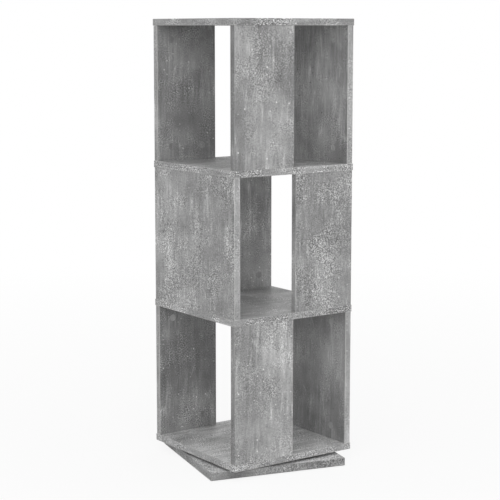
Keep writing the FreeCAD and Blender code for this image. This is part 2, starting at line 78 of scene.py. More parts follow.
def new_material(name):
    material = bpy.data.materials.new(name)
    material.use_nodes = True
    material.node_tree.nodes.clear()
    return material, material.node_tree


def per_metre(size_mm):
    """Texture scale whose marks are about this many millimetres across."""
    return 1000 / size_mm


def dress(node_name, material):
    """Give a CAD node its finish."""
    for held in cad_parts[node_name].material_slots:
        held.material = material


def concrete_print(tree, roll, run, grit):
    """Tone of the decor print, about 0 to 1, with 0.5 at its middle grey.

    roll is where the piece was cut from the printed roll, in metres.  run is how many
    times longer than wide a trowel mark is along X, Y and Z.  grit is how strong its grit
    is, with 1 in the middle.
    """
    spot = add_node(tree, "TexCoord").outputs["Object"]
    spot = add_node(tree, "Mapping", {"Vector": spot, "Location": (0, 0, roll)})
    drawn = add_node(tree, "Mapping", {"Vector": spot, "Scale": [1 / times for times in run]})
    # scratches and grit are ragged, so they are looked up at a place pushed a little way,
    # by up to half of this span, in metres
    push_span = 0.03
    push = add_node(tree, "TexNoise", {"Vector": spot, "Scale": per_metre(75)})
    push = add_node(tree, "VectorMath", {0: push.outputs["Color"], 1: (0.5, 0.5, 0.5)},
                    operation="SUBTRACT")
    push = add_node(tree, "VectorMath", {0: push, "Scale": push_span}, operation="SCALE")
    pushed = add_node(tree, "VectorMath", {0: spot, 1: push}, operation="ADD")

    # clouds of lighter and darker cement, about a hand across
    cloud = add_node(tree, "TexNoise", {"Vector": spot, "Scale": per_metre(110),
                                        "Detail": 4.0, "Roughness": 0.55})
    tone = add_node(tree, "MapRange", {"Value": cloud, "From Min": 0.3, "From Max": 0.7,
                                       "To Min": 0.31, "To Max": 0.62})
    # soft trowel strokes, broad ones and fine ones, plain in some places, faint in others
    pressed = add_node(tree, "TexNoise", {"Vector": spot, "Scale": per_metre(130)})
    pressed = add_node(tree, "MapRange", {"Value": pressed, "From Min": 0.4,
                                          "From Max": 0.6, "To Min": 0.2, "To Max": 1.6})
    for width, depth in ((14, 0.060), (6, 0.050)):
        stroke = add_node(tree, "TexNoise", {"Vector": drawn, "Scale": per_metre(width)})
        stroke = add_node(tree, "MapRange", {"Value": stroke, "From Min": 0.3,
                                             "From Max": 0.7, "To Min": -depth,
                                             "To Max": depth})
        tone = add_node(tree, "Math", {0: stroke, 1: pressed, 2: tone},
                        operation="MULTIPLY_ADD")

    # pale lines, each the crest where a noise crosses its middle value, in loose bunches:
    # long root-like veins and short ones that follow the trowel, and scratches that don't
    for marks, spacing, width, zone_size, zone, strength in (
            (drawn, 30, 0.022, 90, (0.45, 0.57), 0.17),
            (drawn, 12, 0.040, 60, (0.50, 0.62), 0.13),
            (pushed, 9, 0.024, 22, (0.52, 0.64), 0.18)):
        line = add_node(tree, "TexNoise", {"Vector": marks, "Scale": per_metre(spacing)})
        line = add_node(tree, "Math", {0: line, 1: 0.5}, operation="SUBTRACT")
        line = add_node(tree, "Math", {0: line}, operation="ABSOLUTE")
        line = add_node(tree, "MapRange", {"Value": line, "From Max": width,
                                           "To Min": 1.0, "To Max": 0.0})
        bunch = add_node(tree, "TexNoise", {"Vector": spot, "Scale": per_metre(zone_size)})
        bunch = add_node(tree, "MapRange", {"Value": bunch, "From Min": zone[0],
                                            "From Max": zone[1], "To Max": strength})
        tone = add_node(tree, "Math", {0: line, 1: bunch, 2: tone},
                        operation="MULTIPLY_ADD")

    # grit, in ragged patches with calm places between; the real grains are under a
    # millimetre and are drawn at 3 mm, so that they show
    patch = add_node(tree, "TexNoise", {"Vector": pushed, "Scale": per_metre(75),
                                        "Detail": 4.0, "Roughness": 0.65})
    patch = add_node(tree, "MapRange", {"Value": patch, "From Min": 0.44, "From Max": 0.63,
                                        "To Min": 0.25 * grit, "To Max": 1.22 * grit})
    grain = add_node(tree, "TexNoise", {"Vector": spot, "Scale": per_metre(2.8),
                                        "Detail": 0.0})
    grain = add_node(tree, "MapRange", {"Value": grain, "From Min": 0.2, "From Max": 0.8,
                                        "To Min": -0.32, "To Max": 0.36})
    tone = add_node(tree, "Math", {0: grain, 1: patch, 2: tone}, operation="MULTIPLY_ADD")

    # single bright grains and dark pits
    spots = add_node(tree, "TexVoronoi", {"Vector": spot, "Scale": per_metre(9)})
    near = add_node(tree, "MapRange", {"Value": spots.outputs["Distance"], "From Min": 0.12,
                                       "From Max": 0.26, "To Min": 1.0, "To Max": 0.0})
    chance = add_node(tree, "SeparateColor", {"Color": spots.outputs["Color"]})
    bright = add_node(tree, "MapRange", {"Value": chance.outputs[0], "From Min": 0.86,
                                         "To Max": 0.70})
    dark = add_node(tree, "MapRange", {"Value": chance.outputs[1], "From Min": 0.86,
                                       "To Max": -0.50})
    kind = add_node(tree, "Math", {0: bright, 1: dark}, operation="ADD")
    return add_node(tree, "Math", {0: near, 1: kind, 2: tone}, operation="MULTIPLY_ADD")


def print_ink(tree, tone):
    """The neutral greys of the print, from its darkest pits to its palest grains."""
    return add_node(tree, "ValToRGB", {"Fac": tone},
                    [(0.0, "#585858"), (0.34, "#838383"), (0.5, "#999999"),
                     (0.66, "#b2b2b2"), (1.0, "#e8e8e8")])


def resin_surface(tree, tone, colour):
    """Matt cured resin or ABS over the print, with the pores of the press plate."""
    rough = add_node(tree, "MapRange", {"Value": tone, "To Min": 0.62, "To Max": 0.50})
    # pores a few hundredths of a millimetre deep lie under the printed pits
    pores = add_node(tree, "Bump", {"Height": tone, "Strength": 0.35, "Distance": 0.0002})
    face = add_node(tree, "BsdfPrincipled", {"Base Color": colour, "Roughness": rough,
                                             "Normal": pores})
    add_node(tree, "OutputMaterial", {"Surface": face})


# the sockets of a Mix node's colours: shown at factor 0, shown at factor 1, and the result
MIX_FIRST, MIX_SECOND, MIX_RESULT = 6, 7, 2


def melamine_chipboard(name, face_axis, run, roll, pale, grit):
    """Melamine-faced chipboard: decor on the two faces across face_axis, raw chips in the
    drilled holes and on the sawn edges.  pale is how much lighter this sheet is; on the base
    plate and the bottom board it is painted light, lifting tops that lie in the tower's
    shade."""
    material, tree = new_material(name + " melamine chipboard")
    tone = concrete_print(tree, roll, run, grit)
    tone = add_node(tree, "Math", {0: tone, 1: pale}, operation="ADD")
    spot = add_node(tree, "TexCoord")
    chips = add_node(tree, "TexVoronoi", {"Vector": spot.outputs["Object"],
                                          "Scale": per_metre(2.5)})
    chips = add_node(tree, "ValToRGB", {"Fac": chips.outputs["Color"]},
                     [(0.1, "#8a704c"), (0.5, "#b0946a"), (0.9, "#cdb68c")])
    # 1 where the surface looks along that axis, 0 on the sawn edges and in the holes
    facing = add_node(tree, "SeparateXYZ", {"Vector": spot.outputs["Normal"]})
    facing = add_node(tree, "Math", {0: facing.outputs[face_axis]}, operation="ABSOLUTE")
    facing = add_node(tree, "Math", {0: facing, 1: 0.5}, operation="GREATER_THAN")
    colour = add_node(tree, "Mix", {"Factor": facing, MIX_FIRST: chips,
                                    MIX_SECOND: print_ink(tree, tone)}, data_type="RGBA")
    resin_surface(tree, tone, colour.outputs[MIX_RESULT])
    return material


def abs_strip(node_name, run, roll, grit, pale, arris_and_highlight, half=None, turn=0.0):
    """Printed ABS edging: the same print, with a bright line along its arrises, partly the
    paler ABS where the scraper has cut through the print and partly a painted highlight.

    pale is how much lighter this strip is; on the panels' strips it is painted light and
    shade for the way each strip faces.  arris is how strong its bright line is, painted
    highlight included.  half is the strip frame's half size along its own X, Y and Z, and
    turn its angle.
    """
    material, tree = new_material(node_name + " ABS strip")
    low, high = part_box(node_name)
    centre = (Vector(low) + Vector(high)) / 2
    half = half or Vector(high) - centre
    tone = concrete_print(tree, roll, run, grit)
    tone = add_node(tree, "Math", {0: tone, 1: pale}, operation="ADD")
    spot = add_node(tree, "TexCoord").outputs["Object"]
    spot = add_node(tree, "Mapping", {"Vector": spot, "Location": centre,
                                      "Rotation": (0, 0, turn)}, vector_type="TEXTURE")
    spot = add_node(tree, "VectorMath", {0: spot}, operation="ABSOLUTE")
    spot = add_node(tree, "SeparateXYZ", {"Vector": spot})
    # the cut line is under half a millimetre wide; it is drawn, painted highlight and all, at
    # 1 to 2 mm so that it shows
    full_inset, faded_inset = 0.0007, 0.0018
    ends = [add_node(tree, "MapRange", {"Value": spot.outputs[axis],
                                        "From Min": half[axis] - faded_inset,
                                        "From Max": half[axis] - full_inset})
            for axis in range(3)]
    meet = [add_node(tree, "Math", {0: ends[axis - 1], 1: ends[axis]},
                     operation="MULTIPLY") for axis in range(3)]
    line = add_node(tree, "Math", {0: meet[0], 1: meet[1]}, operation="MAXIMUM")
    line = add_node(tree, "Math", {0: line, 1: meet[2]}, operation="MAXIMUM")
    line = add_node(tree, "Math", {0: line, 1: arris_and_highlight}, operation="MULTIPLY")
    # the bright line is the paler ABS where the print is scraped off, with a painted
    # highlight on the arrises mixed in
    colour = add_node(tree, "Mix", {"Factor": line, MIX_FIRST: print_ink(tree, tone),
                                    MIX_SECOND: linear("#dededc")}, data_type="RGBA")
    resin_surface(tree, tone, colour.outputs[MIX_RESULT])
    return material


# trowel marks that run across the tower, and ones that run level round all four edges
SIDEWAYS = (9, 1, 1)
LEVEL = (9, 9, 1)
base_turn = math.radians(-13.6)
edge_low, edge_high = (Vector(corner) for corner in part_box("base_plate_edging"))
# the side of the square that fills this box once it is turned
base_side = 2 * edge_high.x / (math.cos(base_turn) - math.sin(base_turn))
base_half = Vector((base_side / 2, base_side / 2, (edge_high.z - edge_low.z) / 2))
# the base plate's paler print is painted light on its top, which lies in the tower's shade
dress("base_plate", melamine_chipboard("base_plate", face_axis=2, run=SIDEWAYS, roll=2.2,
                                       pale=0.25, grit=1.6))
dress("base_plate_edging", abs_strip("base_plate_edging", run=LEVEL, roll=4.4, grit=1.1,
                                     pale=-0.03, arris_and_highlight=0.1, half=base_half, turn=base_turn))


# ----------------------------------------------------------------------------- base glides
# Four round glides moulded in black polyethylene, pushed into holes in the underside of the
# base plate by a barbed pin.  They stand a millimetre proud and carry the whole weight.
MM = 0.001
IN_MM = Matrix.Scale(MM, 4)
SHARP = math.radians(35)


def turned(outline, steps):
    """A bmesh turned about Z from half an outline, (radius, height) from pole to pole."""
    shape = bmesh.new()
    points = [shape.verts.new((radius, 0, height)) for radius, height in outline]
    edges = [shape.edges.new(pair) for pair in zip(points, points[1:])]
    bmesh.ops.spin(shape, geom=points + edges, cent=(0, 0, 0), axis=(0, 0, 1),
                   angle=math.tau, steps=steps, use_merge=True)
    return shape


def finish_piece(name, shape, places, material, body, slot, *stands_for):
    """Repeat a shape drawn in millimetres at each place, as one piece of the model."""
    bmesh.ops.remove_doubles(shape, verts=shape.verts, dist=0.001)
    bmesh.ops.recalc_face_normals(shape, faces=shape.faces)
    for face in shape.faces:
        face.smooth = True
    for edge in shape.edges:
        edge.smooth = edge.calc_face_angle(0) < SHARP
    mesh = bpy.data.meshes.new(name)
    shape.to_mesh(mesh)
    shape.clear()
    for place in places:
        held = len(shape.verts)
        shape.from_mesh(mesh)
        shape.verts.ensure_lookup_table()
        bmesh.ops.transform(shape, matrix=place @ IN_MM, verts=shape.verts[held:])
    shape.to_mesh(mesh)
    shape.free()
    mesh.materials.append(material)
    piece = bpy.data.objects.new(name, mesh)
    bpy.context.scene.collection.objects.link(piece)
    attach(piece, body)
    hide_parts(*stands_for)


def polyethylene():
    """Black moulded polyethylene: waxy, slightly mottled, with a spark-eroded grain."""
    material, tree = new_material("black polyethylene")
    spot = add_node(tree, "TexCoord").outputs["Object"]
    mottle = add_node(tree, "TexNoise", {"Vector": spot, "Scale": per_metre(4)})
    colour = add_node(tree, "ValToRGB", {"Fac": mottle}, [(0.3, "#242424"), (0.7, "#333332")])
    grain = add_node(tree, "TexNoise", {"Vector": spot, "Scale": per_metre(0.4)})
    rough = add_node(tree, "MapRange", {"Value": grain, "To Min": 0.40, "To Max": 0.58})
    skin = add_node(tree, "Bump", {"Height": grain, "Strength": 0.3, "Distance": 0.00005})
    face = add_node(tree, "BsdfPrincipled", {"Base Color": colour, "Roughness": rough,
                                             "Normal": skin})
    add_node(tree, "OutputMaterial", {"Surface": face})
    return material


def glide_outline():
    """Foot with a gate dimple and a groove, and a pin with three barbs, in millimetres."""
    foot = [(0, 0.35), (1.1, 0.35), (1.5, 0.0), (8.2, 0.0), (8.5, 0.35), (9.2, 0.35),
            (9.5, 0.0), (11.0, 0.0), (11.6, 0.25), (12.0, 0.9), (12.0, 2.6), (11.7, 3.0)]
    pin = [(2.1, 3.0)]
    for barb in range(3):
        level = 4.2 + 2.4 * barb
        pin += [(2.1, level), (2.5, level + 0.1), (2.1, level + 1.9)]
    return foot + pin + [(2.1, 11.3), (1.4, 12.0), (0, 12.0)]


glide_black = polyethylene()
for corner in ("front_left", "front_right", "back_left", "back_right"):
    node_name = "base_glide_" + corner
    low, high = (Vector(end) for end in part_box(node_name))
    place = Matrix.Translation(((low.x + high.x) / 2, (low.y + high.y) / 2, low.z))
    finish_piece("moulded_glide_" + corner, turned(glide_outline(), steps=48), [place],
                 glide_black, "base", "glide_plastic", node_name)


# ------------------------------------------------------------------------------- turntable
# Two square plates pressed from galvanised sheet steel, held together by a rolled ring at
# the centre.  Thirty-six steel balls run between raised races in a ring of white nylon.
def galvanised_sheet():
    """Hot-dip galvanised steel: dull bluish zinc with crystal flakes 6 to 10 mm across."""
    material, tree = new_material("galvanised sheet steel")
    spot = add_node(tree, "TexCoord").outputs["Object"]
    flakes = add_node(tree, "TexVoronoi", {"Vector": spot, "Scale": per_metre(8)})
    flake = add_node(tree, "SeparateColor", {"Color": flakes.outputs["Color"]})
    colour = add_node(tree, "ValToRGB", {"Fac": flake}, [(0.0, "#959ba0"), (1.0, "#bcc1c4")])
    rough = add_node(tree, "MapRange", {"Value": flake.outputs[1], "To Min": 0.34,
                                        "To Max": 0.52})
    rolled = add_node(tree, "TexNoise", {"Vector": spot, "Scale": per_metre(1.2)})
    skin = add_node(tree, "Bump", {"Height": rolled, "Strength": 0.2, "Distance": 0.0001})
    face = add_node(tree, "BsdfPrincipled", {"Base Color": colour, "Metallic": 1.0,
                                             "Roughness": rough, "Normal": skin})
    add_node(tree, "OutputMaterial", {"Surface": face})
    return material


def nylon():
    """Natural nylon: milky off-white, a little uneven where the mould filled."""
    material, tree = new_material("natural nylon")
    spot = add_node(tree, "TexCoord").outputs["Object"]
    flow = add_node(tree, "TexNoise", {"Vector": spot, "Scale": per_metre(9)})
    colour = add_node(tree, "ValToRGB", {"Fac": flow}, [(0.3, "#dcd9ce"), (0.7, "#e9e7df")])
    rough = add_node(tree, "MapRange", {"Value": flow, "To Min": 0.36, "To Max": 0.50})
    face = add_node(tree, "BsdfPrincipled", {"Base Color": colour, "Roughness": rough})
    add_node(tree, "OutputMaterial", {"Surface": face})
    return material


def ball_steel():
    """Polished chromium bearing steel: near mirror, with a thin film of grease."""
    material, tree = new_material("polished bearing steel")
    spot = add_node(tree, "TexCoord").outputs["Object"]
    film = add_node(tree, "TexNoise", {"Vector": spot, "Scale": per_metre(1.5)})
    colour = add_node(tree, "ValToRGB", {"Fac": film}, [(0.3, "#c4c6c8"), (0.7, "#d8dbdd")])
    rough = add_node(tree, "MapRange", {"Value": film, "To Min": 0.05, "To Max": 0.20})
    face = add_node(tree, "BsdfPrincipled", {"Base Color": colour, "Metallic": 1.0,
                                             "Roughness": rough})
    add_node(tree, "OutputMaterial", {"Surface": face})
    return material


def bearing_ball(radius):
    """A ball round the origin, in millimetres."""
    shape = bmesh.new()
    bmesh.ops.create_uvsphere(shape, u_segments=24, v_segments=14, radius=radius)
    return shape


sheet_steel = galvanised_sheet()
for node_name in ("turntable_lower_plate", "turntable_upper_plate", "turntable_centre_ring"):
    dress(node_name, sheet_steel)
dress("turntable_ball_cage", nylon())
low, high = (Vector(end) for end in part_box("turntable_ball_cage"))
cage_half_band = 5.5 * MM
race_radius = high.x - cage_half_band
ball_count = 36
ball_radius = 2.25
ball_places = [Matrix.Rotation(math.tau * number / ball_count, 4, "Z")
               @ Matrix.Translation((race_radius, 0, (low.z + high.z) / 2))
               for number in range(ball_count)]
finish_piece("bearing_balls", bearing_ball(ball_radius), ball_places, ball_steel(),
             "ball_ring", "bearing_steel", "turntable_balls")


# ------------------------------------------------------------------------ turntable screws
# Eight pan-head chipboard screws of zinc-plated steel with a cross recess and a coarse
# rolled thread: four hold the lower plate to the base, four the upper plate to the tower.
def zinc_plate():
    """Bright zinc plating on turned or rolled steel: silvery, faintly blue, a bit cloudy."""
    material, tree = new_material("bright zinc plating")
    spot = add_node(tree, "TexCoord").outputs["Object"]
    bloom = add_node(tree, "TexNoise", {"Vector": spot, "Scale": per_metre(3)})
    colour = add_node(tree, "ValToRGB", {"Fac": bloom}, [(0.3, "#b4b8bd"), (0.7, "#cfd2d2")])
    rough = add_node(tree, "MapRange", {"Value": bloom, "To Min": 0.22, "To Max": 0.40})
    face = add_node(tree, "BsdfPrincipled", {"Base Color": colour, "Metallic": 1.0,
                                             "Roughness": rough})
    add_node(tree, "OutputMaterial", {"Surface": face})
    return material


def ring_between(shape, verts):
    """The edges that join verts of a ring."""
    return [edge for edge in shape.edges if edge.verts[0] in verts and edge.verts[1] in verts]


def recessed_pin(cross_reach, cross_arm, cross_depth, outline):
    """A round pin along Z with a cross recess in its top.

    outline is (radius, height) from the rim of the top down to the centre of the foot.
    """
    shape = bmesh.new()
    top_radius, top = outline[0]
    for quarter in range(4):
        turn = Matrix.Rotation(quarter * math.pi / 2, 4, "Z")
        for corner in ((cross_reach, -cross_arm), (cross_reach, cross_arm),
                       (cross_arm, cross_arm)):
            shape.verts.new(turn @ Vector((*corner, top)))
    recess = shape.faces.new(shape.verts)
    bmesh.ops.subdivide_edges(shape, edges=shape.edges, cuts=3)
    # the flat round the recess: its mouth drawn outwards, each corner to the round rim
    grown = bmesh.ops.extrude_edge_only(shape, edges=recess.edges)["geom"]
    rim = [part for part in grown if isinstance(part, bmesh.types.BMVert)]
    # sorted round from just below the X axis, so that a corner on it isn't taken as last
    slack = 0.05
    rim.sort(key=lambda vert: (math.atan2(vert.co.y, vert.co.x) + slack) % math.tau)
    for step, vert in enumerate(rim):
        turn = Matrix.Rotation(math.tau * step / len(rim), 4, "Z")
        vert.co = turn @ Vector((top_radius, 0, top))
    ring = ring_between(shape, set(rim))
    # the recess narrows to under half its width at its floor
    taper = 0.45
    sunk = bmesh.ops.extrude_discrete_faces(shape, faces=[recess])["faces"][0]
    bmesh.ops.scale(shape, vec=(taper, taper, 1), verts=sunk.verts)
    bmesh.ops.translate(shape, vec=(0, 0, -cross_depth), verts=sunk.verts)
    for (last_radius, last), (radius, height) in zip(outline, outline[1:]):
        grown = bmesh.ops.extrude_edge_only(shape, edges=ring)["geom"]
        rim = [part for part in grown if isinstance(part, bmesh.types.BMVert)]
        ring = ring_between(shape, set(rim))
        share = radius / last_radius
        bmesh.ops.scale(shape, vec=(share, share, 1), verts=rim)
        bmesh.ops.translate(shape, vec=(0, 0, height - last), verts=rim)
    bmesh.ops.remove_doubles(shape, verts=rim, dist=0.001)
    return shape


def roll_thread(shape, core, crest, pitch, start, turns):
    """Add a rolled thread that climbs from start, its root sunk into the core."""
    steps = 16
    root = core - 0.15
    flank = 0.2 * pitch
    ridge = [(root, start), (crest, start + flank), (root, start + 2 * flank)]
    corners = [shape.verts.new((radius, 0, height)) for radius, height in ridge]
    sides = [shape.edges.new(pair) for pair in zip(corners, corners[1:] + corners[:1])]
    bmesh.ops.spin(shape, geom=corners + sides, cent=(0, 0, 0), axis=(0, 0, 1),
                   dvec=(0, 0, pitch / steps), angle=math.tau * turns, steps=steps * turns)
    open_ends = [edge for edge in shape.edges if edge.is_boundary]
    bmesh.ops.holes_fill(shape, edges=open_ends, sides=3)


def pan_head_screw():
    """Head 8 mm wide and 1.7 mm high above Z = 0, shank 13 mm long below it."""
    outline = [(2.7, 1.7), (3.4, 1.45), (3.85, 0.9), (4.0, 0.3), (4.0, 0.0), (1.8, 0.0),
               (1.5, -1.2), (1.5, -10.0), (0, -13.0)]
    shape = recessed_pin(cross_reach=1.9, cross_arm=0.42, cross_depth=1.1, outline=outline)
    roll_thread(shape, core=1.5, crest=2.0, pitch=1.6, start=-10.1, turns=5)
    return shape


plated = zinc_plate()
upper_high = Vector(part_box("turntable_upper_plate")[1])
lower_low = Vector(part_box("turntable_lower_plate")[0])
plate_metal = 1.5 * MM
screw_inset = 12 * MM
screw_reach = upper_high.x - screw_inset
corner_places = [Matrix.Rotation(math.pi / 2 * quarter, 4, "Z")
                 @ Matrix.Translation((screw_reach, screw_reach, 0)) for quarter in range(4)]
base_screw_places = [Matrix.Rotation(base_turn, 4, "Z") @ place
                     @ Matrix.Translation((0, 0, lower_low.z + plate_metal))
                     for place in corner_places]
tower_screw_places = [place @ Matrix.Translation((0, 0, upper_high.z - plate_metal))
                      @ Matrix.Rotation(math.pi, 4, "X") for place in corner_places]
finish_piece("base_plate_screws", pan_head_screw(), base_screw_places, plated, "base",
             "zinc_plated_steel", "turntable_base_screws")
finish_piece("tower_plate_screws", pan_head_screw(), tower_screw_places, plated, "tower",
             "zinc_plated_steel", "turntable_tower_screws")


# ------------------------------------------------------------------------- tower: boards
# Bottom board, two shelves and top board of 16 mm melamine-faced chipboard, all alike, with
# printed ABS strip on all four edges.  The print runs across the tower.

# how far along the printed roll from its sheet a strip's print is cut, in metres
STRIP_STEP = 0.5
# each board's place on the printed roll, how much paler its sheet is and how gritty, and
# how much paler its strip is; the bottom board's paler sheet is painted light on its top,
# which lies in shade inside the tower
BOARD_CUTS = {
    "bottom_board": (0.4, 0.17, 1.7, 0.09),
    "lower_shelf": (1.3, 0.0, 1.2, 0.0),
    "upper_shelf": (2.6, 0.0, 1.2, 0.0),
    "top_board": (3.7, 0.0, 1.2, -0.02),
}
for label, (roll, pale, grit, strip_tone_and_painted_light) in BOARD_CUTS.items():
    dress(label, melamine_chipboard(label, face_axis=2, run=SIDEWAYS, roll=roll, pale=pale,
                                    grit=grit))
    dress(label + "_edging", abs_strip(label + "_edging", run=LEVEL, roll=roll + STRIP_STEP,
                                       grit=1.8, pale=strip_tone_and_painted_light, arris_and_highlight=0.12))


# ------------------------------------------------------------------------- tower: panels
# A full-width panel and two half-width ones in every tier, 16 mm melamine-faced chipboard
# stood between the boards, with printed ABS strip on their upright edges only.
class Panel:
    """Where a panel stands: its centre, its half width and height, and its inner normal."""
    # a panel with a half width over this is a full-width one
    full_over = 100 * MM

    def __init__(self, label):
        self.label = label
        low, high = (Vector(end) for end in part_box(label + "_edging"))
        self.centre = (low + high) / 2
        half = (high - low) / 2
        self.thin_axis = 0 if half.x < half.y else 1
        self.half_width = half[1 - self.thin_axis]
        self.is_full = self.half_width > self.full_over
        self.half_height = half.z
        self.half_thick = half[self.thin_axis]
        self.inward = Vector((0, 0, 0))
        self.inward[self.thin_axis] = math.copysign(1, -self.centre[self.thin_axis])
        self.along = Vector((0, 0, 1)).cross(self.inward)

    def place(self, along, up, inward):
        """A place on the panel, measured from its centre, with +Z out of its inner face
        and +X toward its nearer end."""
        spot = (self.centre + self.along * along + self.inward * inward
                + Vector((0, 0, 1)) * up)
        level = Vector((0, 0, math.copysign(1, up)))
        turn = Matrix((level, self.inward.cross(level), self.inward)).transposed()
        return Matrix.Translation(spot) @ turn.to_4x4()


# trowel marks that run up the panels
UP = (1, 1, 9)
# each panel's place on the printed roll, how much paler its sheet is and how gritty, and
# how much paler its strip is; the strips' paleness is painted light and shade for the way
# each faces: the full panels' strips, toward the lamps, are drawn paler, and the top and
# bottom front half panels' strips, beside the openings, darker
PANEL_CUTS = {
    "bottom_full": (29.265, -0.07, 0.8, 0.12),
    "bottom_front": (14.985, 0.06, 0.75, -0.13),
    "bottom_back": (1.9, -0.04, 1.0, 0.0),
    "middle_full": (27.175, -0.02, 1.2, 0.10),
    "middle_front": (14.795, -0.03, 1.15, 0.03),
    "middle_back": (23.565, 0.07, 1.0, 0.0),
    "top_full": (19.48, -0.08, 0.9, 0.14),
    "top_front": (28.505, -0.02, 0.75, -0.19),
    "top_back": (6.7, -0.04, 1.0, 0.0),
}
# how strong the bright line along the strips' arrises is: partly where the scraper has cut
# through the print, partly a painted highlight
STRIP_ARRIS_AND_HIGHLIGHT = {"full": 0.40, "front": 0.12, "back": 0.45}
panels = {"bottom": [], "middle": [], "top": []}
for name, (roll, pale, grit, strip_tone_and_painted_light) in PANEL_CUTS.items():
    tier, kind = name.split("_")
    panel = Panel(name + "_panel")
    panels[tier].append(panel)
    dress(panel.label, melamine_chipboard(panel.label, panel.thin_axis, UP, roll, pale, grit))
    dress(panel.label + "_edging",
          abs_strip(panel.label + "_edging", run=UP, roll=roll + STRIP_STEP, grit=0.6,
                    pale=strip_tone_and_painted_light, arris_and_highlight=STRIP_ARRIS_AND_HIGHLIGHT[kind]))


# ----------------------------------------------------------------- cam locks and their bolts
# Zinc die-cast drums 15 mm across, dropped into the panels from the inside and turned with a
# screwdriver, so that each pulls down the head of a plated bolt screwed into the board.
def cast_zinc():
    """Zinc straight from the die: light grey, satin, with a fine orange-peel skin."""
    material, tree = new_material("die-cast zinc")
    spot = add_node(tree, "TexCoord").outputs["Object"]
    skin = add_node(tree, "TexNoise", {"Vector": spot, "Scale": per_metre(0.7)})
    colour = add_node(tree, "ValToRGB", {"Fac": skin}, [(0.3, "#a3a5a7"), (0.7, "#bfc1c1")])
    rough = add_node(tree, "MapRange", {"Value": skin, "To Min": 0.38, "To Max": 0.55})
    peel = add_node(tree, "Bump", {"Height": skin, "Strength": 0.4, "Distance": 0.00008})
    face = add_node(tree, "BsdfPrincipled", {"Base Color": colour, "Metallic": 1.0,
                                             "Roughness": rough, "Normal": peel})
    add_node(tree, "OutputMaterial", {"Surface": face})
    return material


def cam_lock():
    """A drum whose face is at Z = 0, open toward +X for a quarter turn, where the bolt's
    head goes in, with a raised arrow on the face that points the same way."""
    cap = [(7.0, 0.0), (7.4, -0.4), (7.4, -2.4), (0, -2.4)]
    shape = recessed_pin(cross_reach=2.9, cross_arm=0.65, cross_depth=1.7, outline=cap)
    opening = math.radians(90)
    section = [(7.4, -2.3), (7.4, -12.0), (2.2, -12.0), (2.2, -10.8), (5.4, -10.8),
               (5.4, -2.3)]
    start = Matrix.Rotation(opening / 2, 4, "Z")
    corners = [shape.verts.new(start @ Vector((radius, 0, height)))
               for radius, height in section]
    sides = [shape.edges.new(pair) for pair in zip(corners, corners[1:] + corners[:1])]
    end = bmesh.ops.spin(shape, geom=corners + sides, cent=(0, 0, 0), axis=(0, 0, 1),
                         angle=math.tau - opening, steps=36)["geom_last"]
    shape.faces.new(corners)
    shape.faces.new([part for part in end if isinstance(part, bmesh.types.BMVert)])
    arrow = [shape.verts.new(point) for point in ((3.9, -1.5, -0.1), (6.5, 0, -0.1),
                                                  (3.9, 1.5, -0.1))]
    raised = bmesh.ops.extrude_face_region(shape, geom=[shape.faces.new(arrow)])["geom"]
    raised = [part for part in raised if isinstance(part, bmesh.types.BMVert)]
    bmesh.ops.translate(shape, vec=(0, 0, 0.4), verts=raised)
    return shape


def cam_bolt():
    """Head at the top, thread at the foot, seated on the board at Z = 0, in millimetres."""
    outline = [(2.9, 35.5), (3.4, 35.0), (3.4, 32.5), (2.0, 32.1), (2.0, 26.2), (2.9, 25.6),
               (3.0, 25.2), (3.0, 0.0), (1.9, 0.0), (1.9, -9.6), (0, -11.0)]
    shape = recessed_pin(cross_reach=1.5, cross_arm=0.4, cross_depth=1.2, outline=outline)
    roll_thread(shape, core=1.9, crest=2.5, pitch=2.0, start=-9.8, turns=4)
    return shape


def cam_spots(panel):
    """The four places on a panel, along and up from its centre, that hold a cam lock."""
    inset = 55 * MM if panel.is_full else 40 * MM
    reach = 34 * MM
    across = panel.half_width - inset
    return [(side, end * (panel.half_height - reach))
            for side in (-across, across) for end in (-1, 1)]


cam_sink = 0.5 * MM
drum_zinc = cast_zinc()
# turns what is drawn along Z in a panel's end: its top into the panel, its foot outwards
TOP_OVER = Matrix.Rotation(-math.pi / 2, 4, "Y")
for tier, standing in panels.items():
    drums = []
    bolts = []
    for panel in standing:
        for side, up in cam_spots(panel):
            drums.append(panel.place(side, up, panel.half_thick - cam_sink))
            end = math.copysign(panel.half_height, up)
            bolts.append(panel.place(side, end, 0) @ TOP_OVER)
    finish_piece(tier + "_tier_cam_drums", cam_lock(), drums, drum_zinc, "tower",
                 "cast_zinc", tier + "_tier_cam_locks")
    finish_piece(tier + "_tier_bolts", cam_bolt(), bolts, plated, "tower",
                 "zinc_plated_steel", tier + "_tier_cam_bolts")


# ------------------------------------------------------------------------------- dowels
# Fluted beech dowels 8 mm thick and 30 mm long, glued 9 mm into the board and 21 mm into the
# panel.  They line the panels up.
def beech():
    """Beech, turned and fluted: pinkish tan with short darker flecks along the grain, eight
    times longer than wide."""
    material, tree = new_material("fluted beech")
    spot = add_node(tree, "TexCoord").outputs["Object"]
    grain = add_node(tree, "Mapping", {"Vector": spot, "Scale": (1, 1, 0.12)})
    fleck = add_node(tree, "TexNoise", {"Vector": grain, "Scale": per_metre(0.6)})
    colour = add_node(tree, "ValToRGB", {"Fac": fleck},
                      [(0.25, "#a87c4e"), (0.5, "#c79d6d"), (0.75, "#d6b388")])
    rough = add_node(tree, "MapRange", {"Value": fleck, "To Min": 0.72, "To Max": 0.55})
    fibre = add_node(tree, "Bump", {"Height": fleck, "Strength": 0.3, "Distance": 0.0001})
    face = add_node(tree, "BsdfPrincipled", {"Base Color": colour, "Roughness": rough,
                                             "Normal": fibre})
    add_node(tree, "OutputMaterial", {"Surface": face})
    return material


